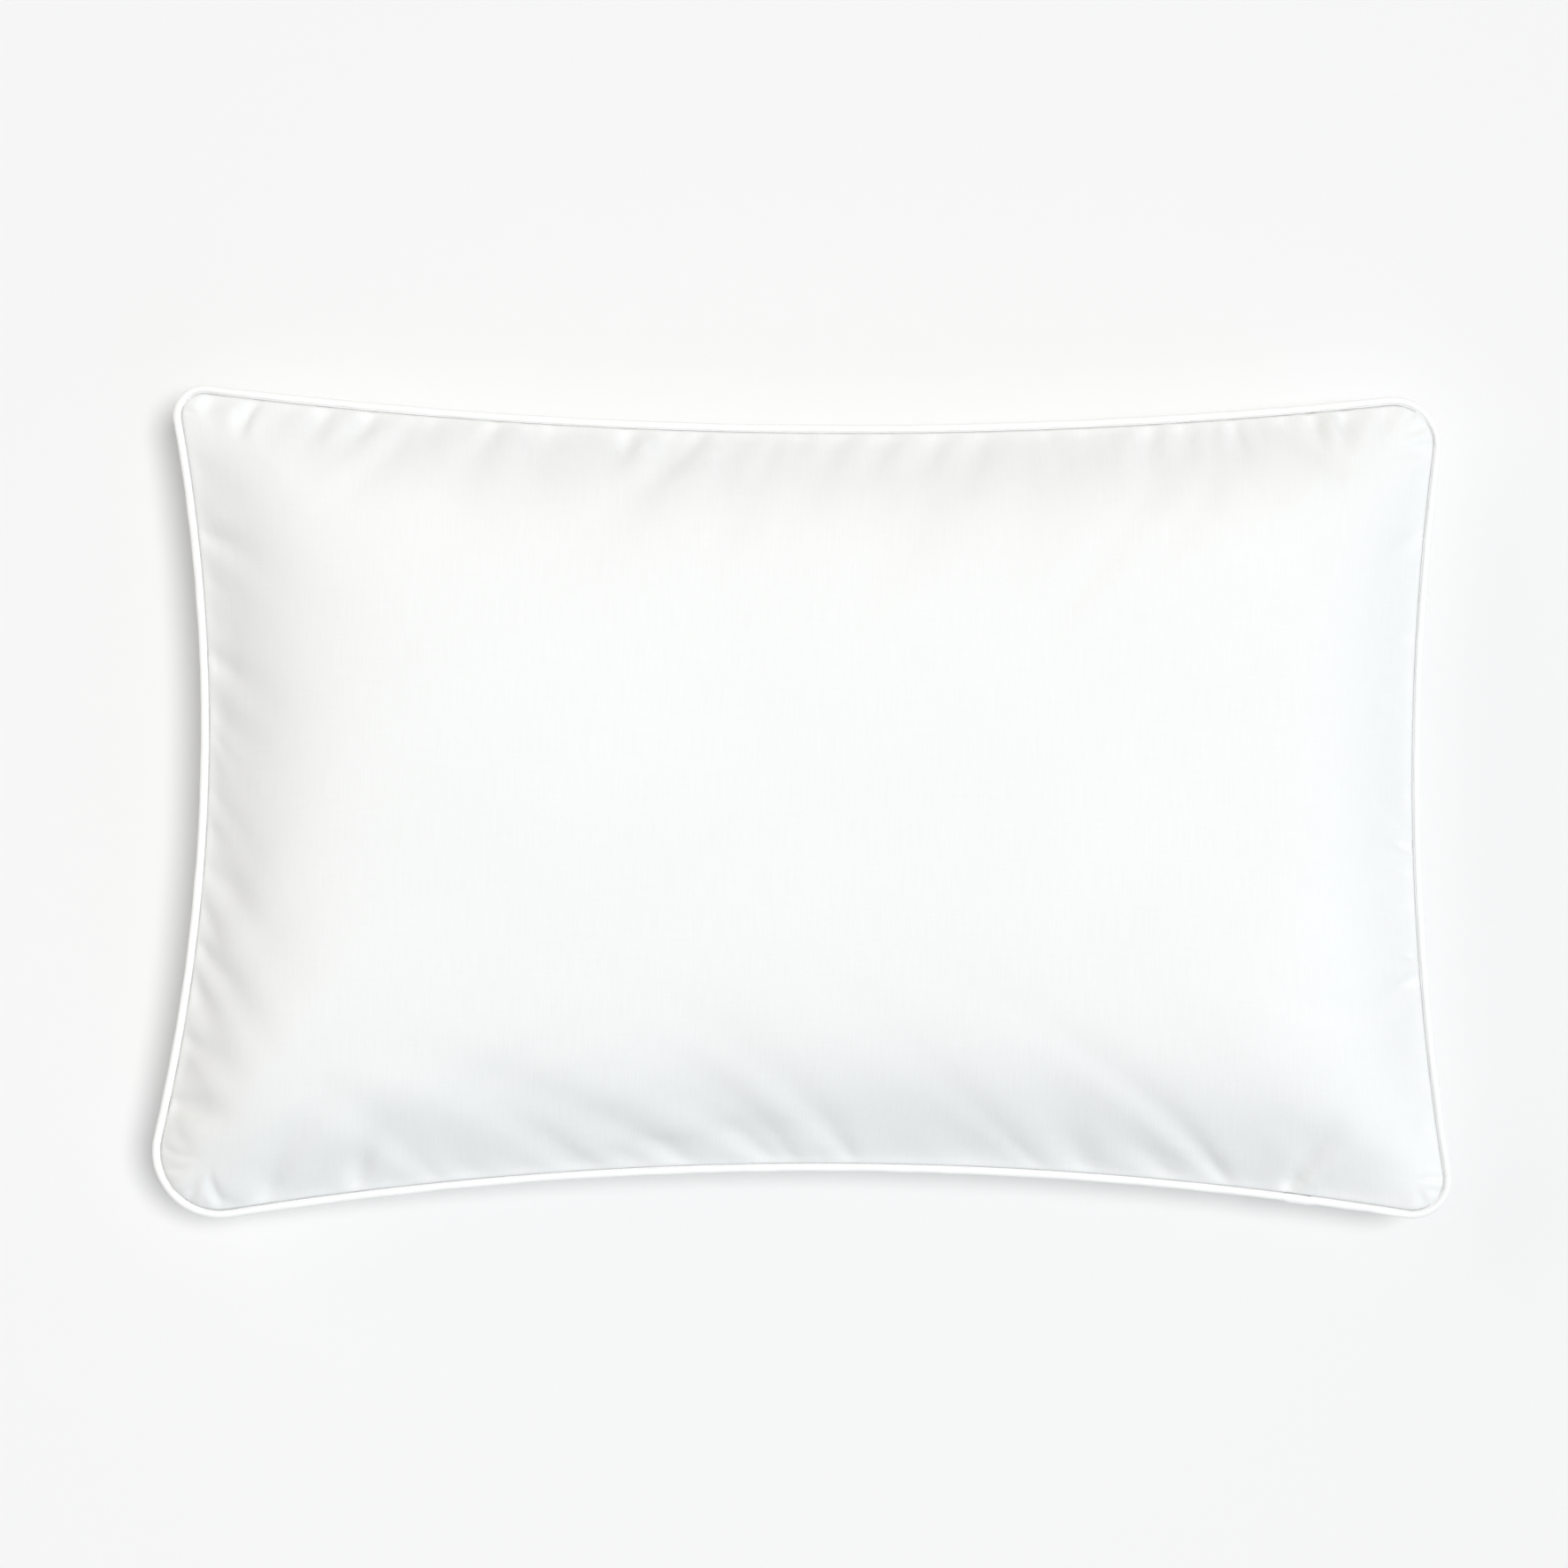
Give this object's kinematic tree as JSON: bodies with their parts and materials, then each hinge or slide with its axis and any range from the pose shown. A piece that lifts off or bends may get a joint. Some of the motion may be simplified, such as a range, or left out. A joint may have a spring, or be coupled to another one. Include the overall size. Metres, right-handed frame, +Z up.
{
  "type": "bed pillow",
  "caption": "Rectangular white bed pillow with a soft domed middle, hollow sides, small rounded corners and a corded piping all round its edge seam.",
  "frame": {"origin": "under the middle of the pillow's outline, on the bed that it lies on", "axes": "+X along the pillow's length, +Y across its width, +Z up out of the bed, with the back panel down"},
  "size_m": [0.7509, 0.4818, 0.145],
  "materials": {
    "casing_cloth": "fine plain-weave white cotton, matt with a faint sheen",
    "piping_cloth": "bias-cut white cotton, drawn smooth over a cord",
    "filler_cord": "soft twisted cotton cord, unbleached",
    "sewing_thread": "spun polyester thread, slight sheen",
    "overlock_thread": "textured overlocking thread",
    "filling_fibre": "fluffy white fibre"
  },
  "bodies": {
    "root": {"front_panel": "casing_cloth", "back_panel": "casing_cloth", "filling": "filling_fibre", "piping_sleeve": "piping_cloth", "piping_cord": "filler_cord", "needle_thread": "sewing_thread", "bobbin_thread": "sewing_thread", "closing_thread": "sewing_thread", "overlock_thread": "overlock_thread"}
  },
  "joints": []
}
